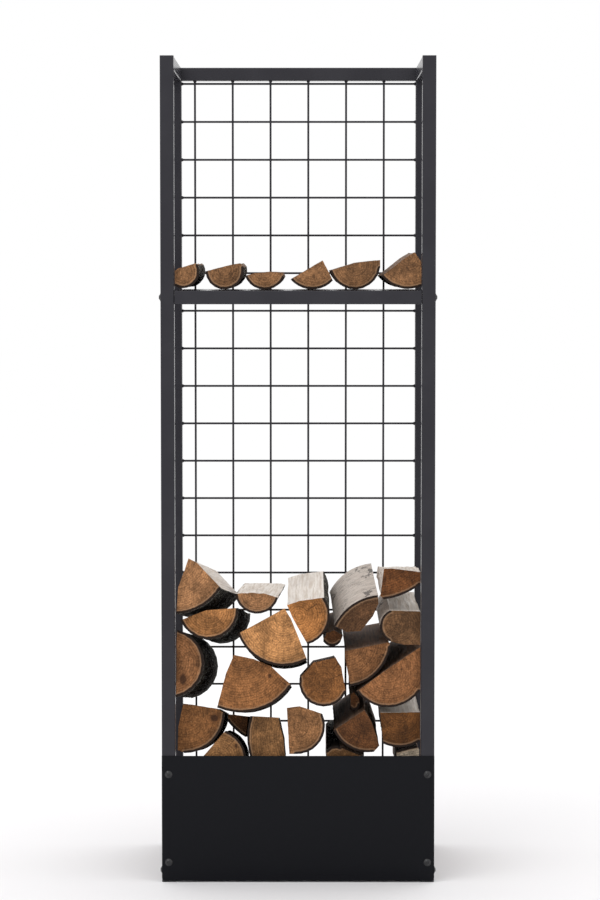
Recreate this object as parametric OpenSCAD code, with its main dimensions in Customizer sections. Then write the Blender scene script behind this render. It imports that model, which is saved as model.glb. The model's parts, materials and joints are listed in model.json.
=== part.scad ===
// Firewood rack with a shelf, a wire grid back, a low front panel and its split logs.
// +X is to the right, +Y to the back, +Z up. The origin is on the floor under the rack's middle.

/* [Rack] */
// Overall width
rack_w = 500; // [480:5:520]
// Depth over the front and rear posts
rack_d = 350; // [345:1:360]
// Overall height
rack_h = 1510; // [1500:5:1600]

/* [Tubes] */
// Side of the square frame tube
tube = 25; // [25:0.5:26]
// Wall of every tube
wall = 1.5; // [1:0.1:2]
// Outer corner radius of every tube
tube_r = 2.5; // [2:0.1:3]
// Width of the narrow tube in the shelf frames
slim_tube = 20; // [18:0.5:20]

/* [Shelves] */
// Underside of the upper shelf frame
shelf_z = 1061; // [1055:1:1063]
// Underside of the floor frame
floor_z = 8; // [5:1:9]
// Thickness of the sheet decks
deck_t = 1.5; // [1:0.1:2]

/* [Grid] */
// Diameter of the grid wire
wire_d = 4; // [3:0.5:4]
// Mesh of the grid, centre to centre
mesh = 72.7; // [72:0.1:73]
// Number of upright wires
uprights = 6; // [3:1:6]
// Number of cross wires
crossings = 20; // [10:1:20]

/* [Front panel] */
// Height of the panel
panel_h = 231; // [150:1:231]
// Sheet thickness of the panel
panel_t = 2; // [1.5:0.1:3]

/* [Logs] */
// Usual length of a log
log_l = 310; // [280:1:314]
// How far the left of the pile slopes down towards its back, degrees
pile_slope = 9; // [8:0.1:9]

/* [Hidden] */
RACK_NODES = [
  "front_post_left", "front_post_right", "rear_post_left", "rear_post_right",
  "post_plugs", "post_feet",
  "side_top_rail_left", "side_top_rail_right", "rear_top_rail",
  "grid_uprights", "grid_crosswires",
  "shelf_front_rail", "shelf_rear_rail", "shelf_end_rail_left", "shelf_end_rail_right", "shelf_deck",
  "floor_front_rail", "floor_rear_rail", "floor_end_rail_left", "floor_end_rail_right", "floor_deck",
  "rail_nuts", "frame_bolts", "front_panel", "panel_nuts", "panel_screws"
];
$fn = 32;

steel = [0.075, 0.078, 0.09];
panel_steel = [0.05, 0.055, 0.065];
zinc = [0.6, 0.6, 0.58];
black_plastic = [0.03, 0.03, 0.03];
split_wood = [0.66, 0.42, 0.22];

half_w = rack_w / 2;
half_d = rack_d / 2;
foot_t = 3;
plug_l = 10;
post_x = half_w - tube / 2;
post_y = half_d - tube / 2;
bay_x = half_w - tube;
inner = tube - 2 * wall;
joint_gap = 0.6;
end_x = bay_x - 0.5 - slim_tube / 2;
end_back_y = half_d - 0.5;
rear_rail_y = half_d - tube - slim_tube / 2;
shelf_top = shelf_z + tube;
floor_top = floor_z + tube;

bolt_r = 3;
hole_r = 3.3;
nut_bore_r = 3.05;
nut_r = 5;
nut_l = 12;
bolt_l = 34;
screw_l = 14;
head_r = 6.8;
dome_r = 5.25;
flange_t = 1.1;
dome_h = 2.2;
socket_r = 2.3;
socket_depth = 2;

wire_r = wire_d / 2;
upright_y = half_d - 11;
cross_y = upright_y + wire_d - 0.4;
first_wire_z = rack_h - tube - 5;
last_wire_z = first_wire_z - (crossings - 1) * mesh;
left_margin = 25.6;
weld_r = 3.6;
weld_l = 3.5;

panel_low_z = foot_t;
panel_corner_r = 6;
screw_low_z = 37;
screw_high_z = 200;

log_front_y = -half_d + 15;
log_pivot_z = 420;
slope = -pile_slope;
cut_depth = 0.6;
log_back_limit = half_d - 20;
inner_log_back = 45;
cross_log_l = 262;

// The logs that can be drawn out. Each row has the name, the height that the outline is measured
// from, the log's lean up towards its back and its turn seen from above in degrees, how much lower
// its top is split at the back than at the front, three points on the bark (start, middle, end),
// and then the corners of the split faces. Points are x and height in mm.
LOGS = [
  ["shelf_log_1", shelf_top, 0, 0, 0, [-224.4, 8], [-191, 10], [-182, 47], [[-186, 50], [-219, 40], [-224.4, 36]]],
  ["shelf_log_2", shelf_top, 0, 0, 0, [-169, 35], [-133, 1.5], [-99, 43], [[-105, 50], [-119, 48]]],
  ["shelf_log_3", shelf_top, 0, 0, 0, [-97, 27], [-62, 1], [-25, 24], [[-28, 33], [-52, 34], [-78, 32]]],
  ["shelf_log_4", shelf_top, 0, 0, 0, [-14, 20], [28, 1.5], [64, 18], [[55, 36], [45, 55]]],
  ["shelf_log_5", shelf_top, 0, 0, 0, [58, 36], [101, 1.5], [150, 42], [[150, 56], [107, 51]]],
  ["shelf_log_6", shelf_top, 0, 0, 0, [151.5, 26], [182, 5], [224.4, 8], [[224.4, 52], [212, 70], [194, 59]]],
  ["log_a1", 0, slope, -5.2, 0, [-222.2, 489], [-177, 502], [-140, 538], [[-186, 585], [-201, 592], [-219, 538]]],
  ["log_a2", 0, -2, -2, 5, [-116, 531], [-80, 494], [-36, 524], [[-69, 534]]],
  ["log_a3", 0, 3, 0, 0, [17, 436], [58, 482], [48, 524], [[3, 518], [-21, 510], [-10, 485]]],
  ["log_a4", 0, 5, 1.2, 0, [147, 528], [96, 508], [66, 471], [[89, 458], [115, 460], [138, 488], [148, 512]]],
  ["log_a5", 0, 0, 0, 30, [157, 521], [194, 531], [224.4, 549], [[224.4, 572], [157, 581], [150, 528]]],
  ["log_a6", 0, 0, 0, 0, [168, 501], [150, 475], [167, 444], [[194, 437], [224.4, 437], [224.4, 499]]],
  ["log_b1", 0, slope, -3, 0, [-216.5, 480], [-160, 445], [-109, 504], [[-169, 499]]],
  ["log_b2", 0, slope, 0, 0, [-111, 457], [-58, 403], [17, 409], [[2, 448], [-13, 485], [-25, 504]]],
  ["log_b3", 0, 0, 0, 0, [96, 359], [148, 386], [170, 434], [[167, 441], [85, 425], [88.5, 398]]],
  ["log_b4", 0, 0, 0, 0, [107, 351], [169, 322], [224.4, 354], [[224.4, 434], [159, 390]]],
  ["log_c1", 0, slope, -3.2, 0, [-223.3, 339], [-172, 400], [-223.3, 463], []],
  ["log_c2", 0, slope, 0, 0, [-149, 322], [-84, 314.5], [-12, 363], [[-50, 398], [-81, 411], [-118, 419], [-133, 384]]],
  ["log_c3", 0, -7, 0, 0, [2, 375], [46, 323], [88, 350], [[80, 396], [69, 414], [28, 404]]],
  ["log_d1", 0, slope, 0, 0, [-209, 238], [-151, 266], [-135, 312], [[-150, 320.5], [-212, 330], [-221, 287], [-222, 244]]],
  ["log_d4", 0, slope, 0, 0, [-4, 237], [44.5, 266], [45, 311], [[3, 325], [-21, 322], [-16.5, 237]]],
  ["log_d5", 0, 0, 0, 0, [65, 279], [99, 244], [140, 239], [[150, 251], [135, 296], [122, 317]]],
  ["log_d6", 0, 0, 0, 0, [156, 254], [191, 247], [224.4, 259], [[224.4, 313], [150, 312]]]
];

// Logs whose ends stand behind the panel's top edge, which hold each other in place
PANEL_LOGS = [
  ["", 0, slope, 0, 0, [-119, 183], [-97, 240], [-134, 280], [[-180, 227], [-214, 187]]],
  ["", 0, slope, 0, 0, [-88, 307], [-93, 254], [-60, 183], [[-26, 183], [-24, 234], [-27, 266], [-36, 304]]],
  ["", 0, 0, 0, 0, [52, 240], [58, 246], [77, 247], [[123, 228], [123, 183], [52, 183]]],
  ["", 0, 0, 0, 0, [181, 240], [199, 245], [219, 250], [[223, 242], [223, 183], [183, 183]]]
];

// Short logs pushed back into the three widest gaps of the pile
INNER_LOGS = [
  ["", 0, 0, 0, 0, [46, 438], [61, 429], [78, 436], [[83, 449], [66, 459], [52, 454]]],
  ["", 0, slope, 0, 0, [-131, 297], [-114, 279], [-97, 267], [[-94.5, 287], [-92.5, 306], [-129, 310]]],
  ["", 0, 0, 0, 0, [97, 312], [105, 309], [114, 319], [[113, 331], [103, 343], [97, 338]]]
];

// Logs of the two lowest layers, which the panel hides. Those on the left slope with the pile
BOTTOM_LOGS = [
  ["", 0, slope, 0, 0, [-218, 95], [-166, 90], [-118, 103], [[-124, 131], [-218, 132]]],
  ["", 0, slope, 0, 0, [-110, 100], [-66, 90], [-20, 98], [[-16, 118], [-60, 132], [-108, 124]]],
  ["", 0, slope, 0, 0, [-10, 100], [18, 90], [44, 100], [[44, 130], [-8, 132]]],
  ["", 0, slope, 0, 0, [-218, 146], [-170, 136], [-122, 148], [[-126, 176], [-216, 178]]],
  ["", 0, slope, 0, 0, [-114, 148], [-70, 136], [-28, 144], [[-28, 176], [-112, 178]]],
  ["", 0, slope, 0, 0, [-18, 152], [16, 136], [42, 150], [[42, 196], [28, 228], [0, 228], [-16, 206]]],
  ["", 0, 0, 0, 0, [54, 60], [96, 36], [132, 48], [[132, 92], [96, 103], [58, 98]]],
  ["", 0, 0, 0, 0, [142, 58], [180, 36], [218, 42], [[222, 88], [182, 103], [144, 96]]],
  ["", 0, 0, 0, 0, [56, 130], [110, 107], [142, 126], [[144, 176], [56, 176]]],
  ["", 0, 0, 0, 0, [150, 132], [186, 107], [222, 124], [[222, 176], [152, 176]]]
];

// Closed square outline with rounded corners, centred on the origin
function rounded(w, h, r) = [
  for (q = [0:3])
    for (a = [0:15:90])
      let (sx = (q == 0 || q == 3) ? 1 : -1, sy = q < 2 ? 1 : -1, t = q * 90 + a)
        [sx * (w / 2 - r) + r * cos(t), sy * (h / 2 - r) + r * sin(t)]
];

// Length of tube along Z, from 0 up, centred on the origin
module tube_z(l, w = tube, h = tube) {
  difference() {
    linear_extrude(l)
      polygon(rounded(w, h, tube_r));
    translate([0, 0, -1])
      linear_extrude(l + 2)
        polygon(rounded(w - 2 * wall, h - 2 * wall, tube_r - wall));
  }
}

// Tube along X, from x0 to x1, centred on y and z
module tube_x(x0, x1, y, z, w = tube, h = tube) {
  translate([x0, y, z])
    rotate([0, 90, 0])
      rotate(90)
        tube_z(x1 - x0, w, h);
}

// Tube along Y, from y0 to y1, centred on x and z
module tube_y(y0, y1, x, z, w = tube, h = tube) {
  translate([x, y1, z])
    rotate([90, 0, 0])
      tube_z(y1 - y0, w, h);
}

// Upright post with its clearance holes; side is -1 at the left and 1 at the right
module post(side, y, front) {
  color(steel)
    difference() {
      translate([side * post_x, y, foot_t])
        tube_z(rack_h - foot_t);
      for (z = [floor_z + tube / 2, shelf_z + tube / 2])
        translate([side * (bay_x - 1), y, z])
          rotate([0, side * 90, 0])
            cylinder(r = hole_r, h = tube + 2);
      if (front)
        for (z = [screw_low_z, screw_high_z])
          translate([side * post_x, -half_d - 1, z])
            rotate([-90, 0, 0])
              cylinder(r = nut_r, h = wall + 2);
    }
}

module front_post_left() {
  post(-1, -post_y, true);
}

module front_post_right() {
  post(1, -post_y, true);
}

module rear_post_left() {
  post(-1, post_y, false);
}

module rear_post_right() {
  post(1, post_y, false);
}

// Runs its children at the four posts
module at_posts() {
  for (sx = [-1, 1], sy = [-1, 1])
    translate([sx * post_x, sy * post_y, 0])
      children();
}

// Flush plug in the open top of each post
module post_plugs() {
  color(black_plastic)
    at_posts()
      translate([0, 0, rack_h - plug_l])
        linear_extrude(plug_l)
          polygon(rounded(inner, inner, tube_r - wall));
}

// Glide foot pressed into the bottom of each post
module post_feet() {
  color(black_plastic)
    at_posts() {
      linear_extrude(foot_t)
        polygon(rounded(tube, tube, tube_r));
      linear_extrude(foot_t + plug_l)
        polygon(rounded(inner, inner, tube_r - wall));
    }
}

module side_top_rail(side) {
  color(steel)
    tube_y(-half_d + tube, half_d - tube, side * post_x, rack_h - tube / 2);
}

module side_top_rail_left() {
  side_top_rail(-1);
}

module side_top_rail_right() {
  side_top_rail(1);
}

module rear_top_rail() {
  color(steel)
    tube_x(-bay_x, bay_x, post_y, rack_h - tube / 2);
}

// Upright wires, each welded to the rear top rail's underside
module grid_uprights() {
  low_z = last_wire_z - 6;
  color(steel)
    for (i = [0:uprights - 1])
      translate([-bay_x + left_margin + i * mesh, upright_y, 0]) {
        translate([0, 0, low_z])
          cylinder(r = wire_r, h = rack_h - tube - low_z);
        translate([0, 0, rack_h - tube - weld_l])
          cylinder(r1 = wire_r, r2 = weld_r, h = weld_l);
      }
}

// Cross wires, each welded to the inner faces of the rear posts
module grid_crosswires() {
  color(steel)
    for (i = [0:crossings - 1])
      translate([0, cross_y, first_wire_z - i * mesh])
        for (side = [-1, 1])
          rotate([0, side * 90, 0]) {
            cylinder(r = wire_r, h = bay_x);
            translate([0, 0, bay_x - weld_l])
              cylinder(r1 = wire_r, r2 = weld_r, h = weld_l);
          }
}

// Front rail of a shelf frame, between the front posts
module front_rail(z) {
  color(steel)
    tube_x(-bay_x + joint_gap, bay_x - joint_gap, -post_y, z + tube / 2);
}

// Rear rail of a shelf frame, between its end rails
module rear_rail(z) {
  color(steel)
    tube_x(-end_x + slim_tube / 2, end_x - slim_tube / 2, rear_rail_y, z + tube / 2, slim_tube, tube);
}

// End rail of a shelf frame, from the front rail to beside the rear post
module end_rail(side, z) {
  color(steel)
    difference() {
      tube_y(-half_d + tube, end_back_y, side * end_x, z + tube / 2, slim_tube, tube);
      translate([side * (bay_x - 0.5 - wall - 1), post_y, z + tube / 2])
        rotate([0, side * 90, 0])
          cylinder(r = nut_r, h = wall + 2);
    }
}

// Sheet deck let into a shelf frame, flush with the rails' tops
module deck(z) {
  x = end_x - slim_tube / 2;
  color(steel)
    translate([-x, -half_d + tube, z + tube - deck_t])
      cube([2 * x, rear_rail_y - slim_tube / 2 + half_d - tube, deck_t]);
}

module shelf_front_rail() {
  front_rail(shelf_z);
}

module shelf_rear_rail() {
  rear_rail(shelf_z);
}

module shelf_end_rail_left() {
  end_rail(-1, shelf_z);
}

module shelf_end_rail_right() {
  end_rail(1, shelf_z);
}

module shelf_deck() {
  deck(shelf_z);
}

module floor_front_rail() {
  front_rail(floor_z);
}

module floor_rear_rail() {
  rear_rail(floor_z);
}

module floor_end_rail_left() {
  end_rail(-1, floor_z);
}

module floor_end_rail_right() {
  end_rail(1, floor_z);
}

module floor_deck() {
  deck(floor_z);
}

// Nuts that the frame bolts turn into: a block in each end of the front rails,
// and a round insert in the outer wall of each end rail
module rail_nuts() {
  color(zinc)
    for (z = [floor_z, shelf_z], side = [-1, 1]) {
      translate([side * (bay_x - joint_gap), -post_y, z + tube / 2])
        rotate([0, -side * 90, 0])
          difference() {
            linear_extrude(nut_l)
              polygon(rounded(inner, inner, tube_r - wall));
            translate([0, 0, -1])
              cylinder(r = nut_bore_r, h = nut_l + 2);
          }
      translate([side * (bay_x - 0.5), post_y, z + tube / 2])
        rotate([0, -side * 90, 0])
          difference() {
            cylinder(r = nut_r, h = nut_l);
            translate([0, 0, -1])
              cylinder(r = nut_bore_r, h = nut_l + 2);
          }
    }
}

// Flanged button-head screw with a hexagon socket, its flange at z = 0 and its head up
module button_screw(l) {
  difference() {
    union() {
      translate([0, 0, -l])
        cylinder(r = bolt_r, h = l + 0.5);
      cylinder(r = head_r, h = flange_t);
      translate([0, 0, flange_t])
        cylinder(r1 = dome_r, r2 = dome_r * 0.82, h = dome_h * 0.55);
      translate([0, 0, flange_t + dome_h * 0.55])
        cylinder(r1 = dome_r * 0.82, r2 = dome_r * 0.5, h = dome_h * 0.45);
    }
    translate([0, 0, flange_t + dome_h - socket_depth])
      cylinder(r = socket_r, h = socket_depth + 1, $fn = 6);
  }
}

module frame_bolts() {
  color(steel)
    for (z = [floor_z, shelf_z], side = [-1, 1], y = [-post_y, post_y])
      translate([side * half_w, y, z + tube / 2])
        rotate([0, side * 90, 0])
          button_screw(bolt_l);
}

// Runs its children at the panel's four screws, with +Z out of the front
module at_panel_screws() {
  for (side = [-1, 1], z = [screw_low_z, screw_high_z])
    translate([side * post_x, -half_d, z])
      rotate([90, 0, 0])
        children();
}

module front_panel() {
  r = panel_corner_r;
  x = half_w - r;
  arc = [for (a = [0:15:90]) r * [sin(a), cos(a)]];
  outline = concat(
    [[half_w, panel_h], [-half_w, panel_h]],
    [for (p = arc) [-x - p[1], r - p[0]]],
    [for (p = arc) [x + p[0], r - p[1]]]
  );
  color(panel_steel)
    difference() {
      translate([0, -half_d, panel_low_z])
        rotate([90, 0, 0])
          linear_extrude(panel_t)
            polygon(outline);
      at_panel_screws()
        translate([0, 0, -1])
          cylinder(r = hole_r, h = panel_t + 2);
    }
}

// Round inserts in the front posts for the panel's screws
module panel_nuts() {
  color(zinc)
    at_panel_screws()
      translate([0, 0, -nut_l])
        difference() {
          cylinder(r = nut_r, h = nut_l);
          translate([0, 0, -1])
            cylinder(r = nut_bore_r, h = nut_l + 2);
        }
}

module panel_screws() {
  color(steel)
    at_panel_screws()
      translate([0, 0, panel_t])
        button_screw(screw_l);
}

// Points on the circle through a, b and c, from a to c by way of b
function arc_through(a, b, c, n = 10) =
  let (
    d = 2 * (a[0] * (b[1] - c[1]) + b[0] * (c[1] - a[1]) + c[0] * (a[1] - b[1])),
    ux = (a * a * (b[1] - c[1]) + b * b * (c[1] - a[1]) + c * c * (a[1] - b[1])) / d,
    uz = (a * a * (c[0] - b[0]) + b * b * (a[0] - c[0]) + c * c * (b[0] - a[0])) / d,
    m = [ux, uz],
    r = norm(a - m),
    a0 = atan2(a[1] - uz, a[0] - ux),
    a1 = atan2(c[1] - uz, c[0] - ux),
    turn = d > 0 ? (a1 > a0 ? a1 - a0 : a1 - a0 + 360) : (a1 < a0 ? a1 - a0 : a1 - a0 - 360)
  )
  [for (i = [0:n]) m + r * [cos(a0 + turn * i / n), sin(a0 + turn * i / n)]];

// One log along Y, leaned and turned about the front of the pile. Its ends vary a little with its
// number, as chopped wood does
module log_body(log, i, pushed_back = 0) {
  outline = concat(arc_through(log[5], log[6], log[7]), log[8]);
  top_z = log[1] + max([for (p = outline) p[1]]);
  low_z = log[1] + min([for (p = outline) p[1]]);
  mid_z = (top_z + low_z) / 2;
  mid_x = (max([for (p = outline) p[0]]) + min([for (p = outline) p[0]])) / 2;
  lean = log[2];
  start_y = pushed_back - 6 + 3 * (i % 5);
  room = log_back_limit - log_front_y - abs(sin(lean)) * (top_z - low_z) / 2 - 30 * abs(sin(log[3]));
  end_y = min(start_y + log_l + 2 * (i % 3), room);
  pivot_z = lean == 0 ? 0 : log_pivot_z;
  along = (mid_z - pivot_z) * tan(lean) - mid_x * tan(log[3]);
  l = end_y - start_y;
  color(split_wood)
    translate([0, log_front_y, pivot_z])
      rotate([lean, 0, log[3]])
        translate([0, start_y + along, -pivot_z])
          difference() {
            translate([0, l, log[1]])
              rotate([90, 0, 0])
                linear_extrude(l)
                  polygon(outline);
            if (log[4] > 0)
              translate([0, 0, top_z - cut_depth])
                rotate([-atan2(log[4], l), 0, 0])
                  translate([-half_w, -l, 0])
                    cube([rack_w, 3 * l, rack_h]);
          }
}

module panel_logs() {
  for (i = [0:len(PANEL_LOGS) - 1])
    log_body(PANEL_LOGS[i], i + 1);
}

module inner_log() {
  for (i = [0:len(INNER_LOGS) - 1])
    log_body(INNER_LOGS[i], i, inner_log_back);
}

// A half-round log across the rack, which the sloping layers rest on at the front
module cross_log() {
  color(split_wood)
    translate([-bay_x + 4, 0, 0])
      rotate([90, 0, 90])
        linear_extrude(cross_log_l)
          polygon(arc_through([-94, floor_top + 3], [-122, floor_top + 42], [-150, floor_top + 3]));
}

module bottom_logs() {
  for (i = [0:len(BOTTOM_LOGS) - 1])
    log_body(BOTTOM_LOGS[i], i + 1);
  cross_log();
}

front_post_left();
front_post_right();
rear_post_left();
rear_post_right();
post_plugs();
post_feet();
side_top_rail_left();
side_top_rail_right();
rear_top_rail();
grid_uprights();
grid_crosswires();
shelf_front_rail();
shelf_rear_rail();
shelf_end_rail_left();
shelf_end_rail_right();
shelf_deck();
floor_front_rail();
floor_rear_rail();
floor_end_rail_left();
floor_end_rail_right();
floor_deck();
rail_nuts();
frame_bolts();
front_panel();
panel_nuts();
panel_screws();
panel_logs();
bottom_logs();
inner_log();
for (i = [0:len(LOGS) - 1])
  log_body(LOGS[i], i);
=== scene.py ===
"""Looks of the firewood rack: steel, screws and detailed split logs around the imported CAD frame."""

import json
import math

import bpy
import numpy as np
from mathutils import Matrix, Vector


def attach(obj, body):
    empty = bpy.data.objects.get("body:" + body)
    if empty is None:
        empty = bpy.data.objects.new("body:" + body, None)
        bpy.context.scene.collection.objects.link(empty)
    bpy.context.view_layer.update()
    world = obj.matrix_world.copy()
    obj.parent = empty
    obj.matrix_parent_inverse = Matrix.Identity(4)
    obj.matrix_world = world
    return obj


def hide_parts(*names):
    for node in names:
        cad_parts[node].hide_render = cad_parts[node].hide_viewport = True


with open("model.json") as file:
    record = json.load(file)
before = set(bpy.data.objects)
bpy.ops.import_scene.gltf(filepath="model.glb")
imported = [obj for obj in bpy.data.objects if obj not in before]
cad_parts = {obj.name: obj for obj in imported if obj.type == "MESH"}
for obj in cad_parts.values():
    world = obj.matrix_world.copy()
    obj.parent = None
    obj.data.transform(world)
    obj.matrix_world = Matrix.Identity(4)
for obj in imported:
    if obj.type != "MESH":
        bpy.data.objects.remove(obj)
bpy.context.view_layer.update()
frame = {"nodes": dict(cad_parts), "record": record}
NODES = frame["nodes"]
WELD_WITHIN = 0.00002
BODY_OF = {n: body for body, ns in frame["record"]["behaviour"]["bodies"].items() for n in ns}
MM = 0.001

# ---------------------------------------------------------------- camera, floor and light

CAMERA_AT = (0.0163, -5.377, 1.1328)
CAMERA_PITCH = -0.06464
CAMERA_YAW = 0.00245
CAMERA_LENS = 114.51
SENSOR = 36.0


def make_camera():
    data = bpy.data.cameras.new("camera")
    data.sensor_width = SENSOR
    data.lens = CAMERA_LENS
    camera = bpy.data.objects.new("camera", data)
    camera.location = CAMERA_AT
    camera.rotation_euler = (math.pi / 2 + CAMERA_PITCH, 0, CAMERA_YAW)
    bpy.context.scene.collection.objects.link(camera)
    bpy.context.scene.camera = camera


def make_area(name, at, target, size, power):
    data = bpy.data.lights.new(name, "AREA")
    data.shape = "RECTANGLE"
    data.size, data.size_y = size
    data.energy = power
    light = bpy.data.objects.new(name, data)
    light.location = at
    light.rotation_euler = (Vector(target) - Vector(at)).to_track_quat("-Z", "Y").to_euler()
    bpy.context.scene.collection.objects.link(light)


def make_studio():
    world = bpy.data.worlds.new("studio")
    world.use_nodes = True
    background = world.node_tree.nodes["Background"]
    background.inputs["Color"].default_value = (1.0, 1.0, 1.0, 1.0)
    background.inputs["Strength"].default_value = WORLD_LIGHT
    bpy.context.scene.world = world
    make_area("key", (-1.6, -2.2, 3.6), (0, 0, 0.7), (2.4, 2.4), KEY_POWER)
    make_area("top", (0.2, 0.6, 3.4), (0, 0, 0.6), (2.0, 2.0), TOP_POWER)


WORLD_LIGHT = 1.0
KEY_POWER = 26
TOP_POWER = 22
# the floor's colour near the rack and far from it; the change between them is painted light
FLOOR_NEAR = (0.87, 0.86, 0.87, 1)
FLOOR_FAR = (1.0, 1.0, 1.0, 1)


def make_floor():
    half = 30.0
    mesh = bpy.data.meshes.new("floor")
    corners = [(-half, -half, 0), (half, -half, 0), (half, half, 0), (-half, half, 0)]
    mesh.from_pydata(corners, [], [(0, 1, 2, 3)])
    floor = bpy.data.objects.new("floor", mesh)
    bpy.context.scene.collection.objects.link(floor)
    t = Tree("studio_floor")
    x, y, z = t.split(t.coords())
    away = t.math("SQRT", t.math("ADD", t.math("MULTIPLY", x, x), t.math("MULTIPLY", y, y)))
    # painted light: greyer near the rack, turning white from 0.5 to 2.6 m out to fade into the white backdrop
    pale = t.step(away, 0.5, 2.6)
    mesh.materials.append(t.finish(t.mix(pale, FLOOR_NEAR, FLOOR_FAR), 0.95, Specular_IOR_Level=0.0))


# ---------------------------------------------------------------- material helpers


def new_material(name):
    material = bpy.data.materials.new(name)
    material.use_nodes = True
    return material


def srgb(r, g, b):
    """Linear colour of a colour given as it looks on a screen, 0 to 255."""
    def linear(v):
        v /= 255
        return v / 12.92 if v <= 0.04045 else ((v + 0.055) / 1.055) ** 2.4
    return (linear(r), linear(g), linear(b), 1.0)


class Tree:
    """Short calls for building a shader's nodes."""

    def __init__(self, name):
        self.material = new_material(name)
        self.nodes = self.material.node_tree.nodes
        self.links = self.material.node_tree.links
        self.shader = self.nodes["Principled BSDF"]

    def plug(self, value, socket):
        if hasattr(value, "is_output"):
            self.links.new(value, socket)
        elif isinstance(value, (int, float)) or len(value) == len(socket.default_value):
            socket.default_value = value
        else:
            socket.default_value = tuple(value)[: len(socket.default_value)]

    def node(self, kind, **settings):
        made = self.nodes.new(kind)
        for key, value in settings.items():
            setattr(made, key, value)
        return made

    def attribute(self, name, output="Vector"):
        return self.node("ShaderNodeAttribute", attribute_name=name).outputs[output]

    def coords(self):
        return self.node("ShaderNodeTexCoord").outputs["Object"]

    def stretch(self, vector, scale, offset=(0, 0, 0)):
        made = self.node("ShaderNodeMapping")
        self.plug(vector, made.inputs["Vector"])
        made.inputs["Scale"].default_value = scale
        made.inputs["Location"].default_value = offset
        return made.outputs["Vector"]

    def noise(self, vector, scale, detail=4.0, roughness=0.55, output="Fac", distortion=0.0):
        made = self.node("ShaderNodeTexNoise")
        self.plug(vector, made.inputs["Vector"])
        made.inputs["Scale"].default_value = scale
        made.inputs["Detail"].default_value = detail
        made.inputs["Roughness"].default_value = roughness
        made.inputs["Distortion"].default_value = distortion
        return made.outputs[output]

    def cells(self, vector, scale, feature="F1", output="Distance", randomness=1.0):
        made = self.node("ShaderNodeTexVoronoi", feature=feature)
        self.plug(vector, made.inputs["Vector"])
        made.inputs["Scale"].default_value = scale
        made.inputs["Randomness"].default_value = randomness
        return made.outputs[output]

    def math(self, operation, a, b=0.0, c=0.0, clamp=False):
        made = self.node("ShaderNodeMath", operation=operation, use_clamp=clamp)
        for value, socket in zip((a, b, c), made.inputs):
            self.plug(value, socket)
        return made.outputs[0]

    def step(self, value, low, high, to_low=0.0, to_high=1.0):
        made = self.node("ShaderNodeMapRange", interpolation_type="SMOOTHSTEP", clamp=True)
        for name, v in (("Value", value), ("From Min", low), ("From Max", high),
                        ("To Min", to_low), ("To Max", to_high)):
            self.plug(v, made.inputs[name])
        return made.outputs["Result"]

    def mix(self, factor, a, b, blend="MIX"):
        made = self.node("ShaderNodeMix", data_type="RGBA", blend_type=blend)
        self.plug(factor, made.inputs["Factor"])
        self.plug(a, made.inputs[6])
        self.plug(b, made.inputs[7])
        return made.outputs[2]

    def split(self, vector):
        made = self.node("ShaderNodeSeparateXYZ")
        self.plug(vector, made.inputs[0])
        return made.outputs

    def join(self, x, y, z):
        made = self.node("ShaderNodeCombineXYZ")
        for value, socket in zip((x, y, z), made.inputs):
            self.plug(value, socket)
        return made.outputs[0]

    def bump(self, height, strength, distance, below=None):
        made = self.node("ShaderNodeBump")
        self.plug(height, made.inputs["Height"])
        made.inputs["Strength"].default_value = strength
        made.inputs["Distance"].default_value = distance
        if below is not None:
            self.plug(below, made.inputs["Normal"])
        return made.outputs["Normal"]

    def finish(self, colour, roughness, normal=None, **constants):
        self.plug(colour, self.shader.inputs["Base Color"])
        self.plug(roughness, self.shader.inputs["Roughness"])
        if normal is not None:
            self.plug(normal, self.shader.inputs["Normal"])
        for name, value in constants.items():
            self.shader.inputs[name.replace("_", " ")].default_value = value
        return self.material


# ---------------------------------------------------------------- steel, screws and plastic


def powder_coat(name, colour, dust, sheen):
    """Fine-textured powder coat: a pebbled skin a fraction of a millimetre across, and faint dust."""
    t = Tree(name)
    at = t.coords()
    pebble = t.noise(at, 900, 2.0, 0.6)
    peel = t.noise(at, 160, 3.0, 0.5)
    cloud = t.noise(at, 9, 4.0, 0.6)
    tint = t.mix(t.step(cloud, 0.35, 0.7, 0.0, dust), colour, srgb(96, 96, 100))
    speck = t.step(t.noise(at, 1400, 1.0, 0.5), 0.62, 0.75, 0.0, 0.1)
    tint = t.mix(speck, tint, srgb(84, 85, 92))
    rough = t.step(pebble, 0.2, 0.8, 0.16, 0.28)
    normal = t.bump(peel, 0.03, 0.00005)
    return t.finish(tint, rough, normal, Specular_IOR_Level=sheen)


def black_screw():
    t = Tree("black_screw")
    at = t.coords()
    grain = t.noise(at, 1600, 2.0, 0.5)
    tint = t.mix(t.step(grain, 0.55, 0.8, 0.0, 0.4), srgb(13, 13, 17), srgb(44, 44, 48))
    rough = t.step(grain, 0.2, 0.8, 0.16, 0.28)
    return t.finish(tint, rough, t.bump(grain, 0.05, 0.0001), Specular_IOR_Level=0.6)


def zinc():
    t = Tree("zinc_plate")
    at = t.coords()
    grain = t.noise(at, 700, 3.0, 0.6)
    tint = t.mix(grain, srgb(168, 168, 160), srgb(206, 204, 190))
    return t.finish(tint, t.step(grain, 0.2, 0.8, 0.25, 0.45), t.bump(grain, 0.1, 0.0002), Metallic=1.0)


def plastic():
    t = Tree("black_polyethylene")
    at = t.coords()
    grain = t.noise(at, 1200, 2.0, 0.5)
    tint = t.mix(t.step(t.noise(at, 60), 0.4, 0.7, 0.0, 0.5), srgb(26, 26, 28), srgb(40, 40, 42))
    return t.finish(tint, t.step(grain, 0.2, 0.8, 0.5, 0.65), t.bump(grain, 0.3, 0.0002))


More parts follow.
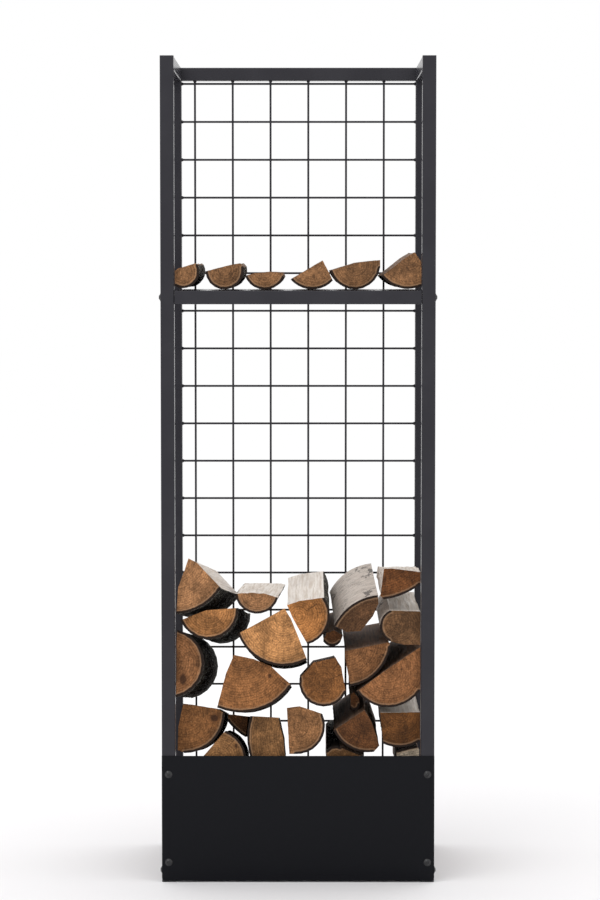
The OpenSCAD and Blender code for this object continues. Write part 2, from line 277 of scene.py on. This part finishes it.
# ---------------------------------------------------------------- wood and bark
# Every log's mesh carries "ring", each point's place from the trunk's pith (x, along, z) in metres,
# "rim", the distance from the bark's outline in metres, "knot", the place from the knot in knot
# sizes, "pale", how light the split faces are painted from 0 to 1, near 1 painted light from above
# with some grey weathering, and "shade", the colour of its ends, which holds some painted shade.


def end_grain():
    """Rough-sawn end: growth rings about the pith, rays, fuzz, drying cracks and a rim of bark."""
    t = Tree("log_end_grain")
    ring, rim, shade = t.attribute("ring"), t.attribute("rim", "Fac"), t.attribute("shade", "Color")
    x, along, z = t.split(ring)
    radius = t.math("SQRT", t.math("ADD", t.math("MULTIPLY", x, x), t.math("MULTIPLY", z, z)))
    angle = t.math("ARCTAN2", z, x)
    wobble = t.noise(ring, 22, 3.0, 0.5)
    spaced = t.math("ADD", t.math("MULTIPLY", radius, 230.0), t.math("MULTIPLY", wobble, 2.0))
    year = t.math("FRACT", spaced)
    width = t.noise(t.join(t.math("FLOOR", spaced), along, 0.0), 0.9, 1.0, 0.5)
    late = t.math("MULTIPLY", t.step(year, 0.35, 0.92), t.step(year, 1.0, 0.94))
    late = t.math("MULTIPLY", late, t.step(width, 0.3, 0.7, 0.25, 1.0))
    ray_at = t.join(t.math("MULTIPLY", angle, 26.0), t.math("MULTIPLY", radius, 45.0), along)
    rays = t.noise(ray_at, 1.0, 3.0, 0.6)
    fuzz = t.noise(ring, 430, 3.0, 0.75)
    grit = t.noise(ring, 150, 4.0, 0.7)
    blotch = t.noise(ring, 24, 3.0, 0.55)
    saw = t.noise(t.stretch(ring, (420, 1, 70)), 1.0, 2.0, 0.6)
    # everything is light or dark against the log's end colour, which holds some painted shade
    level = t.math("SUBTRACT", 1.14, t.math("MULTIPLY", late, 0.46))
    level = t.math("ADD", level, t.step(rays, 0.5, 0.8, 0.0, 0.22))
    level = t.math("MULTIPLY", level, t.step(grit, 0.32, 0.68, 1.28, 0.74))
    level = t.math("MULTIPLY", level, t.step(fuzz, 0.3, 0.7, 0.66, 1.36))
    level = t.math("MULTIPLY", level, t.step(blotch, 0.35, 0.66, 1.28, 0.66))
    level = t.math("MULTIPLY", level, t.step(saw, 0.3, 0.7, 0.86, 1.14))
    level = t.math("MULTIPLY", level, t.step(rim, 0.0, 0.022, 0.8, 1.06))
    colour = t.mix(1.0, shade, t.join(level, level, level), "MULTIPLY")
    colour = t.mix(t.step(fuzz, 0.58, 0.74, 0.0, 0.3), colour, t.mix(0.5, shade, srgb(214, 184, 150)))
    # drying cracks run out from the pith and stay thin; their dark colour is painted shade inside the cracks
    crack_at = t.join(t.math("MULTIPLY", angle, 1.7), 0.0, along)
    crack = t.noise(crack_at, 3.2, 2.0, 0.5)
    line = t.math("ABSOLUTE", t.math("SUBTRACT", crack, 0.5))
    thin = t.math("MULTIPLY", t.step(line, 0.009, 0.003), t.step(t.noise(ring, 30), 0.54, 0.58))
    colour = t.mix(t.math("MULTIPLY", thin, 0.7), colour, srgb(40, 24, 15))
    # bark and the pale layer under it
    edge = t.math("ADD", rim, t.math("MULTIPLY", t.math("SUBTRACT", grit, 0.5), 0.003))
    under = t.math("MULTIPLY", t.step(edge, 0.0078, 0.0058), 0.35)
    colour = t.mix(under, colour, srgb(176, 140, 108))
    colour = t.mix(t.step(edge, 0.0052, 0.0036), colour, srgb(36, 26, 21))
    # a knot: dark heartwood of a side branch with the grain flowing round it
    knot_x, _, knot_z = t.split(t.attribute("knot"))
    off = t.math("ADD", t.math("MULTIPLY", knot_x, knot_x), t.math("MULTIPLY", knot_z, knot_z))
    off = t.math("SQRT", off)
    off = t.math("ADD", off, t.math("MULTIPLY", t.math("SUBTRACT", grit, 0.5), 0.7))
    halo = t.math("MULTIPLY", t.step(off, 1.9, 1.0), 0.35)
    colour = t.mix(halo, colour, srgb(92, 58, 34))
    colour = t.mix(t.math("MULTIPLY", t.step(off, 1.1, 0.6), 0.8), colour, srgb(46, 27, 17))
    height = t.math("ADD", t.math("MULTIPLY", fuzz, 0.7), t.math("MULTIPLY", grit, 0.9))
    height = t.math("SUBTRACT", height, t.math("MULTIPLY", thin, 2.0))
    height = t.math("SUBTRACT", height, t.math("MULTIPLY", late, 0.25))
    normal = t.bump(height, 0.45, 0.0012)
    return t.finish(colour, t.step(fuzz, 0.2, 0.8, 0.75, 0.92), normal, Specular_IOR_Level=0.2)


def split_face():
    """Face split along the grain: long fibres with painted highlights and painted shade between them, torn
    ridges, and a paleness that is painted light from above with some grey weathering.
    """
    t = Tree("log_split_face")
    ring, pale = t.attribute("ring"), t.attribute("pale", "Fac")
    strand = t.noise(t.stretch(ring, (260, 9, 260)), 1.0, 4.0, 0.6)
    fibre = t.noise(t.stretch(ring, (1100, 26, 1100)), 1.0, 3.0, 0.65)
    torn = t.noise(t.stretch(ring, (90, 20, 90)), 1.0, 4.0, 0.6)
    stain = t.noise(t.stretch(ring, (22, 8, 22)), 1.0, 3.0, 0.5)
    # painted light: "pale" near 1 turns the split faces near-white as if lit strongly from above, with some
    # grey weathering; near 0 they stay brown
    light = t.mix(pale, srgb(112, 78, 50), srgb(246, 238, 230))
    dark = t.mix(pale, srgb(72, 48, 31), srgb(214, 199, 184))
    colour = t.mix(t.step(strand, 0.35, 0.7), light, dark)
    # painted highlight on the raised fibres and painted shade in the sunken grooves between them, from the
    # same fibre noise that drives the bump
    raised = t.mix(pale, srgb(160, 124, 90), srgb(240, 234, 228))
    colour = t.mix(t.step(fibre, 0.5, 0.75, 0.0, 0.35), colour, raised)
    sunken = t.mix(pale, srgb(48, 31, 22), srgb(158, 132, 108))
    colour = t.mix(t.step(fibre, 0.42, 0.28, 0.0, 0.5), colour, sunken)
    stained = t.mix(pale, srgb(70, 52, 40), srgb(196, 184, 174))
    colour = t.mix(t.step(stain, 0.52, 0.72, 0.0, 0.4), colour, stained)
    height = t.math("ADD", t.math("MULTIPLY", strand, 0.9), t.math("MULTIPLY", fibre, 0.4))
    height = t.math("ADD", height, t.math("MULTIPLY", torn, 1.1))
    normal = t.bump(height, 0.8, 0.0022)
    return t.finish(colour, t.step(fibre, 0.2, 0.8, 0.65, 0.88), normal, Specular_IOR_Level=0.3)


def dark_bark():
    """Old fissured bark with grey plates and lichen specks, and furrows painted nearly black as painted
    shade.
    """
    t = Tree("log_dark_bark")
    ring = t.attribute("ring")
    warp = t.mix(0.25, t.stretch(ring, (60, 24, 60)), t.noise(ring, 40, 3.0, 0.5, "Color"))
    plates = t.cells(warp, 1.6, "DISTANCE_TO_EDGE")
    rough = t.noise(ring, 150, 5.0, 0.65)
    lichen = t.noise(ring, 240, 3.0, 0.7)
    patch = t.noise(ring, 14, 3.0, 0.5)
    # painted shade: the furrows between the plates are nearly black
    colour = t.mix(t.step(plates, 0.02, 0.16), srgb(14, 11, 9), srgb(46, 38, 32))
    colour = t.mix(t.step(rough, 0.45, 0.7, 0.0, 0.5), colour, srgb(66, 56, 48))
    flecks = t.math("MULTIPLY", t.step(lichen, 0.53, 0.61), t.step(patch, 0.36, 0.52))
    colour = t.mix(t.math("MULTIPLY", flecks, 0.8), colour, srgb(168, 168, 156))
    height = t.math("ADD", t.step(plates, 0.0, 0.22), t.math("MULTIPLY", rough, 0.5))
    normal = t.bump(height, 0.9, 0.003)
    return t.finish(colour, 0.9, normal, Specular_IOR_Level=0.2)


def birch_bark():
    """Pale papery bark with dark lenticels across the grain and curling edges."""
    t = Tree("log_birch_bark")
    ring = t.attribute("ring")
    x, along, z = t.split(ring)
    around = t.math("ARCTAN2", z, x)
    flat = t.join(t.math("MULTIPLY", around, 0.09), along, 0.0)
    dash = t.noise(t.stretch(flat, (55, 420, 1)), 1.0, 2.0, 0.6)
    group = t.noise(t.stretch(flat, (26, 30, 1)), 1.0, 3.0, 0.6)
    paper = t.noise(t.stretch(flat, (30, 170, 1)), 1.0, 4.0, 0.6)
    scuff = t.noise(ring, 70, 5.0, 0.7)
    colour = t.mix(t.step(paper, 0.3, 0.7), srgb(184, 168, 156), srgb(212, 202, 192))
    colour = t.mix(t.step(scuff, 0.52, 0.7, 0.0, 0.5), colour, srgb(150, 130, 114))
    marks = t.math("MULTIPLY", t.step(dash, 0.55, 0.62), t.step(group, 0.42, 0.54))
    colour = t.mix(t.math("MULTIPLY", marks, 0.85), colour, srgb(62, 50, 44))
    scars = t.math("MULTIPLY", t.step(t.noise(t.stretch(ring, (24, 7, 24)), 1.0, 5.0, 0.75), 0.58, 0.63), 0.8)
    colour = t.mix(scars, colour, srgb(48, 38, 32))
    height = t.math("SUBTRACT", t.math("MULTIPLY", paper, 0.6), t.math("MULTIPLY", marks, 0.7))
    normal = t.bump(height, 0.5, 0.0015)
    return t.finish(colour, t.step(paper, 0.2, 0.8, 0.5, 0.7), normal, Specular_IOR_Level=0.35)


# ---------------------------------------------------------------- log meshes

AROUND = 120
STATIONS = 44
END_BAND = 0.032  # corners this near an end's outermost point belong to that end
END_RINGS = 9
BIRCH = {"log_a4", "log_a6"}


def loose_solids(mesh):
    """The mesh's separate solids, each as an array of its own points."""
    points = np.array([v.co for v in mesh.vertices], float)
    keys = [tuple(k) for k in np.round(points / 1e-6).astype(int)]
    first = {}
    merged = [first.setdefault(k, i) for i, k in enumerate(keys)]
    group = list(range(len(points)))

    def root(i):
        while group[i] != i:
            group[i] = group[group[i]]
            i = group[i]
        return i

    for polygon in mesh.polygons:
        vs = [merged[v] for v in polygon.vertices]
        for v in vs[1:]:
            group[root(v)] = root(vs[0])
    solids = {}
    for i in sorted(set(merged)):
        solids.setdefault(root(i), []).append(points[i])
    return [np.array(s) for s in solids.values() if len(s) > 5]


def ordered(points):
    """Points of one end, in order round its convex outline seen from the front."""
    c = points.mean(0)
    turn = np.arctan2(points[:, 2] - c[2], points[:, 0] - c[0])
    return points[np.argsort(turn)]


def lowest(points):
    """Lowest point of an end, and the leftmost where several are as low."""
    return points[np.lexsort((points[:, 0], np.round(points[:, 2], 5)))[0]]


def bark_run(outline):
    """First edge and length of the run of equal edges, which is the round side with the bark."""
    n = len(outline)
    lengths = np.linalg.norm(np.roll(outline, -1, 0) - outline, axis=1)
    best = (0, 0)
    for start in range(n):
        count = 1
        while count < n and abs(lengths[(start + count) % n] - lengths[start]) < 0.02 * lengths[start]:
            count += 1
        if count > best[1]:
            best = (start, count)
    return best


def circle_through(a, b, c):
    """Centre (x, z) of the circle through three points."""
    m = np.array([[b[0] - a[0], b[2] - a[2]], [c[0] - a[0], c[2] - a[2]]]) * 2
    v = np.array([p[0] ** 2 + p[2] ** 2 - a[0] ** 2 - a[2] ** 2 for p in (b, c)])
    return np.linalg.solve(m, v)


def smooth_noise(shape, cells, rng):
    """Smooth random field on a grid that closes round its first axis, from -1 to 1."""
    rows, columns = shape
    grid = rng.uniform(-1, 1, (cells[0], cells[1] + 1))
    u = np.arange(rows) / rows * cells[0]
    v = np.arange(columns) / max(columns - 1, 1) * cells[1]
    i, j = u.astype(int), np.minimum(v.astype(int), cells[1] - 1)
    fu, fv = u - i, v - j
    fu, fv = fu * fu * (3 - 2 * fu), fv * fv * (3 - 2 * fv)
    i, i2 = i % cells[0], (i + 1) % cells[0]
    low = grid[i][:, j] * (1 - fu[:, None]) + grid[i2][:, j] * fu[:, None]
    high = grid[i][:, j + 1] * (1 - fu[:, None]) + grid[i2][:, j + 1] * fu[:, None]
    return low * (1 - fv) + high * fv


def log_parts(solid, seed, birch):
    """Points, faces, material numbers and attributes of one detailed log inside its CAD solid."""
    rng = np.random.default_rng(seed)
    near = ordered(solid[solid[:, 1] < solid[:, 1].min() + END_BAND])
    far = ordered(solid[solid[:, 1] > solid[:, 1].max() - END_BAND])
    shift = lowest(far) - lowest(near)
    top_near, top_far = near[:, 2].max(), far[:, 2].max()
    planed = top_near + shift[2] - top_far > 0.0015

    start, count = bark_run(near)
    n = len(near)
    picks = [near[(start + round(count * k)) % n] for k in (0, 0.5, 1)]
    pith_x, pith_z = circle_through(*picks)

    # resample the outline evenly, keeping its corners
    edges = np.roll(near, -1, 0) - near
    lengths = np.linalg.norm(edges, axis=1)
    travelled = np.concatenate([[0], np.cumsum(lengths)])
    wanted = np.arange(AROUND) / AROUND * travelled[-1]
    for k in range(n):
        wanted[np.argmin(abs(wanted - travelled[k]))] = travelled[k]
    wanted = np.sort(wanted)
    edge = np.minimum(np.searchsorted(travelled, wanted, "right") - 1, n - 1)
    part = (wanted - travelled[edge]) / lengths[edge]
    outline = near[edge] + edges[edge] * part[:, None]
    on_bark = ((edge - start) % n) < count
    if count < 8:
        on_bark[:] = False

    # inward direction, averaged across corners
    tangent = np.roll(outline, -1, 0) - np.roll(outline, 1, 0)
    inward = np.stack([-tangent[:, 2], tangent[:, 0]], 1)
    inward /= np.linalg.norm(inward, axis=1)[:, None] + 1e-12

    # relief over the sides, always inward of the CAD solid and least at the ends
    shape = (AROUND, STATIONS)
    slow = smooth_noise(shape, (7, 4), rng) * 0.5 + 0.5
    strands = smooth_noise(shape, (34, 5), rng) * 0.5 + 0.5
    ribs = smooth_noise(shape, (58, 9), rng) * 0.5 + 0.5
    knobs = smooth_noise(shape, (40, 26), rng) * 0.5 + 0.5
    split_depth = 1.4 * slow + 1.2 * strands + 0.6 * ribs
    bark_depth = (0.6 if birch else 1.2) * slow + (0.3 if birch else 1.4) * knobs
    depth = np.where(on_bark[:, None], bark_depth, split_depth) * MM
    span = min(np.ptp(outline[:, 0]), np.ptp(outline[:, 2]))
    depth *= min(1.0, span / 0.045)
    t = np.linspace(0, 1, STATIONS)
    depth *= (0.3 + 0.7 * np.minimum(1, np.minimum(t, 1 - t) * 9))[None, :]

    side = np.zeros((STATIONS, AROUND, 3))
    for k in range(STATIONS):
        side[k] = outline + shift * t[k]
        side[k, :, 0] += inward[:, 0] * depth[:, k]
        side[k, :, 2] += inward[:, 1] * depth[:, k]
        if planed:
            roof = top_near + (top_far - top_near) * t[k] - 0.0006
            roof -= 0.0012 * (strands[:, k] + slow[:, k])
            side[k, :, 2] = np.minimum(side[k, :, 2], roof)

    # the saw rarely meets a log squarely: each end leans a little, inward of the CAD end
    def end_plane(loop, inward_y):
        lean = rng.uniform(-0.03, 0.03, 2)
        offset = (loop[:, [0, 2]] - loop[:, [0, 2]].mean(0)) @ lean
        return inward_y * (offset - offset.min() + 0.0003)

    ends = end_plane(side[0], 1), end_plane(side[-1], -1)
    for k in range(5):
        side[k, :, 1] += ends[0] * (1 - k / 5)
        side[-1 - k, :, 1] += ends[1] * (1 - k / 5)

    points = [side.reshape(-1, 3)]
    faces, kinds = [], []
    for k in range(STATIONS - 1):
        for i in range(AROUND):
            j = (i + 1) % AROUND
            a, b = k * AROUND, (k + 1) * AROUND
            faces.append((a + i, a + j, b + j, b + i))
            kinds.append(2 if on_bark[i] else 1)

    # the two ends, as rings of points that close on the middle
    total = STATIONS * AROUND
    rims = [np.ones(total)]
    rims[0][:AROUND] = np.where(on_bark, 0.0, 1.0)
    for station, sign in ((0, 1), (STATIONS - 1, -1)):
        loop = side[station]
        core = loop.mean(0)
        saw = smooth_noise((AROUND, END_RINGS), (22, 6), rng)
        bark_at = loop[on_bark][:, [0, 2]] if on_bark.any() else np.full((1, 2), 99.0)
        first = len(points)
        before = station * AROUND
        for r in range(0, END_RINGS):
            share = 1 - (r / END_RINGS) ** 1.15
            rows = core + (loop - core) * share
            rows[:, 1] += sign * (0.0004 + 0.0004 * saw[:, r]) * min(1, r)
            points.append(rows)
            rims.append(np.linalg.norm(rows[:, None, [0, 2]] - bark_at[None], axis=2).min(1))
            here = total
            if r:
                for i in range(AROUND):
                    j = (i + 1) % AROUND
                    quad = (before + i, here + i, here + j, before + j)
                    faces.append(quad if sign > 0 else quad[::-1])
                    kinds.append(0)
            before = here
            total += AROUND
        points.append(core[None] + np.array([[0, sign * 0.0004, 0]]))
        rims.append(np.linalg.norm(core[None, [0, 2]] - bark_at, axis=1).min(keepdims=True))
        for i in range(AROUND):
            j = (i + 1) % AROUND
            triangle = (before + i, total, before + j)
            faces.append(triangle if sign > 0 else triangle[::-1])
            kinds.append(0)
        total += 1
    points = np.concatenate(points)
    bend = (points[:, 1] - near[:, 1].mean()) / shift[1]
    ring = np.stack([points[:, 0] - pith_x - shift[0] * bend,
                     points[:, 1] + rng.uniform(0, 40),
                     points[:, 2] - pith_z - shift[2] * bend], 1)
    return points, faces, kinds, ring, np.concatenate(rims)


# each log's end colour, partly the wood's own tone and partly painted shade, darker for the logs
# on the right, low in the pile and inside it; and how pale its split faces are painted
HONEY = (170, 122, 80)
TAN = (152, 110, 78)
BROWN = (134, 90, 56)
UMBER = (112, 72, 44)
DARK = (92, 58, 34)
SHADES = {
    "log_a1": TAN, "log_a2": TAN, "log_a3": (158, 106, 62), "log_a4": (92, 64, 44),
    "log_a5": (104, 64, 36), "log_a6": (100, 72, 50), "log_b1": (162, 112, 70), "log_b2": HONEY,
    "log_b3": (118, 80, 52), "log_b4": (128, 86, 56), "log_c1": (126, 86, 57), "log_c2": BROWN,
    "log_c3": (122, 80, 46), "log_d1": (118, 79, 48), "log_d4": (130, 92, 62), "log_d5": DARK,
    "log_d6": (98, 62, 32), "panel_logs": (128, 92, 60), "bottom_logs": UMBER, "inner_log": DARK,
}
# painted light: the logs on top of the pile get near-white split faces where the light from above falls, with
# some grey weathering; the rest stay brown
PALE = {"log_a1": 0.9, "log_a2": 0.95, "log_a3": 1.0, "log_a4": 0.9, "log_a5": 0.8, "log_a6": 1.0,
        "log_d6": 0.85}


PLAIN_SHADE = (130, 94, 66)
PLAIN_PALE = 0.05
BIRCH_END = (214, 198, 182)
BIRCH_END_FROM_X = 0.17  # the panel log to the right of this has a birch end
SHADE_TRIM = np.array([0.86, 0.84, 0.76])  # takes the studio light's lift off the end colours

# knots on the front ends: centre x and height, half width and half height, in millimetres
KNOTS = {"log_c1": (-211, 374, 7, 11), "log_d1": (-154, 300, 8, 7), "log_c2": (-52, 379, 3.5, 4.5),
         "panel_logs": (-114, 250, 3, 4)}


def knot_offsets(name, points):
    """Each point's place from the log's knot in knot sizes, far away where there is none."""
    if name not in KNOTS:
        return np.full((len(points), 3), 9.0)
    x, z, half_w, half_h = (v * MM for v in KNOTS[name])
    return np.stack([(points[:, 0] - x) / half_w, np.zeros(len(points)), (points[:, 2] - z) / half_h], 1)


def make_log(name, seed, materials):
    points, faces, kinds, rings, rims, shades, knots = [], [], [], [], [], [], []
    base = 0
    rng = np.random.default_rng(seed + 500)
    for k, solid in enumerate(loose_solids(NODES[name].data)):
        across = np.ptp(solid[:, 0]) > np.ptp(solid[:, 1])
        if across:
            solid = solid[:, [1, 0, 2]] * (1, -1, 1)
        p, f, m, ring, rim = log_parts(solid, seed * 40 + k, name in BIRCH)
        if across:
            p = p[:, [1, 0, 2]] * (-1, 1, 1)
        points.append(p)
        faces += [tuple(base + i for i in face) for face in f]
        kinds += m
        rings.append(ring)
        rims.append(rim)
        birch_end = name == "panel_logs" and solid[:, 0].mean() > BIRCH_END_FROM_X
        shade = np.array(srgb(*(BIRCH_END if birch_end else SHADES.get(name, PLAIN_SHADE))))
        shade[:3] *= SHADE_TRIM * rng.uniform(0.94, 1.06)
        shades.append(np.tile(shade, (len(p), 1)))
        knots.append(knot_offsets(name, p))
        base += len(p)
    mesh = bpy.data.meshes.new(name + "_wood")
    mesh.from_pydata(np.concatenate(points).tolist(), [], faces)
    for material in (materials["end"], materials["split"],
                     materials["birch"] if name in BIRCH else materials["bark"]):
        mesh.materials.append(material)
    mesh.polygons.foreach_set("material_index", kinds)
    mesh.polygons.foreach_set("use_smooth", [True] * len(kinds))
    for key, kind, field, values in (
            ("ring", "FLOAT_VECTOR", "vector", np.concatenate(rings)),
            ("rim", "FLOAT", "value", np.concatenate(rims)),
            ("knot", "FLOAT_VECTOR", "vector", np.concatenate(knots)),
            ("pale", "FLOAT", "value", np.full(base, PALE.get(name, PLAIN_PALE))),
            ("shade", "FLOAT_COLOR", "color", np.concatenate(shades))):
        mesh.attributes.new(key, kind, "POINT").data.foreach_set(field, values.astype(np.float32).ravel())
    mesh.update()
    mesh.set_sharp_from_angle(angle=math.radians(38))
    log = bpy.data.objects.new(name + "_wood", mesh)
    bpy.context.scene.collection.objects.link(log)
    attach(log, BODY_OF[name])
    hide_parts(name)
    return log


# ---------------------------------------------------------------- building it

make_camera()
make_studio()
make_floor()
bpy.context.scene.view_settings.view_transform = "Standard"

FINISH = {
    "powder_coat": powder_coat("powder_coat_anthracite", srgb(39, 38, 44), 0.06, 0.25),
    # the panel's coat is nearly black: partly its own blue-black colour, partly painted shade for a darker
    # room in front of it than the all-white world gives
    "panel_coat": powder_coat("powder_coat_panel", srgb(11, 12, 17), 0.0, 0.12),
    "black_screws": black_screw(),
    "zinc": zinc(),
    "black_plastic": plastic(),
}
WOOD = {"end": end_grain(), "split": split_face(), "bark": dark_bark(), "birch": birch_bark()}

SLOT_OF = {s["node"]: s["material_slot"] for s in frame["record"]["subparts"]}
for name, node in NODES.items():
    slot_name = SLOT_OF[name]
    node.data.materials.clear()
    if slot_name == "split_wood":
        node.data.materials.append(WOOD["split"])
    else:
        node.data.materials.append(FINISH[slot_name])
        node.data.polygons.foreach_set("use_smooth", [True] * len(node.data.polygons))
        node.modifiers.new("weld", "WELD").merge_threshold = WELD_WITHIN
        node.modifiers.new("flat_faces", "WEIGHTED_NORMAL").weight = 100

LOG_NAMES = sorted(n for n, s in SLOT_OF.items() if s == "split_wood")
for number, name in enumerate(LOG_NAMES):
    make_log(name, number + 1, WOOD)
